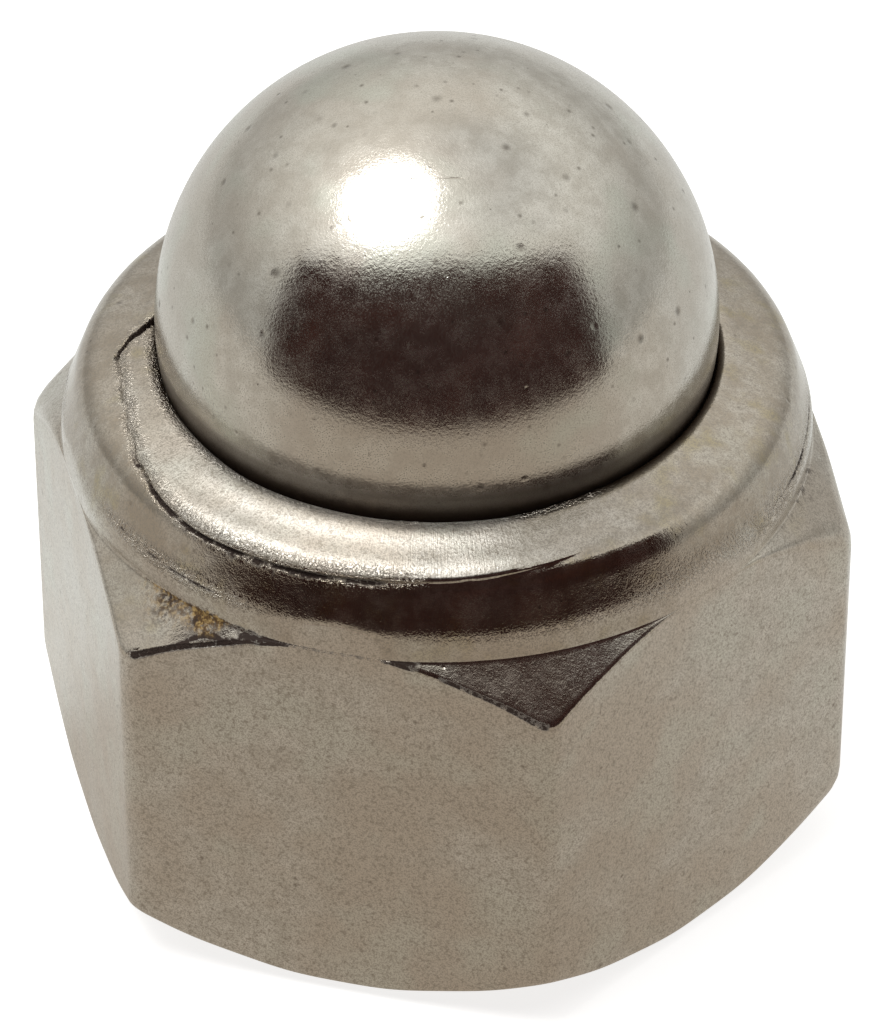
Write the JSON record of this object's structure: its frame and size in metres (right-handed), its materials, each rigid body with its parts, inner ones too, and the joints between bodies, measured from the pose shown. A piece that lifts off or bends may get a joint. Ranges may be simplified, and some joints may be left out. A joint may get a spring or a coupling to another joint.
{
  "type": "hexagon cap nut",
  "caption": "Prevailing-torque hexagon cap nut for an M16 bolt: a threaded body whose rolled collar grips a drawn dome cap and a locking ring.",
  "frame": {"origin": "centre of the bearing face, where the bolt's axis meets the clamped surface", "axes": "+Z along the thread's axis towards the dome; two opposite corners of the hexagon lie on the X axis, and two opposite flats face +Y and -Y"},
  "size_m": [0.0274, 0.024, 0.0275],
  "materials": {
    "body_steel": "satin stainless steel, fine mottled grain with small dark pits",
    "cap_steel": "polished and slightly dulled stainless steel with small pits and scratches",
    "polyamide": "natural off-white moulded polyamide"
  },
  "bodies": {
    "root": {"nut_body": "body_steel", "locking_ring": "polyamide", "dome_cap": "cap_steel"}
  },
  "joints": []
}
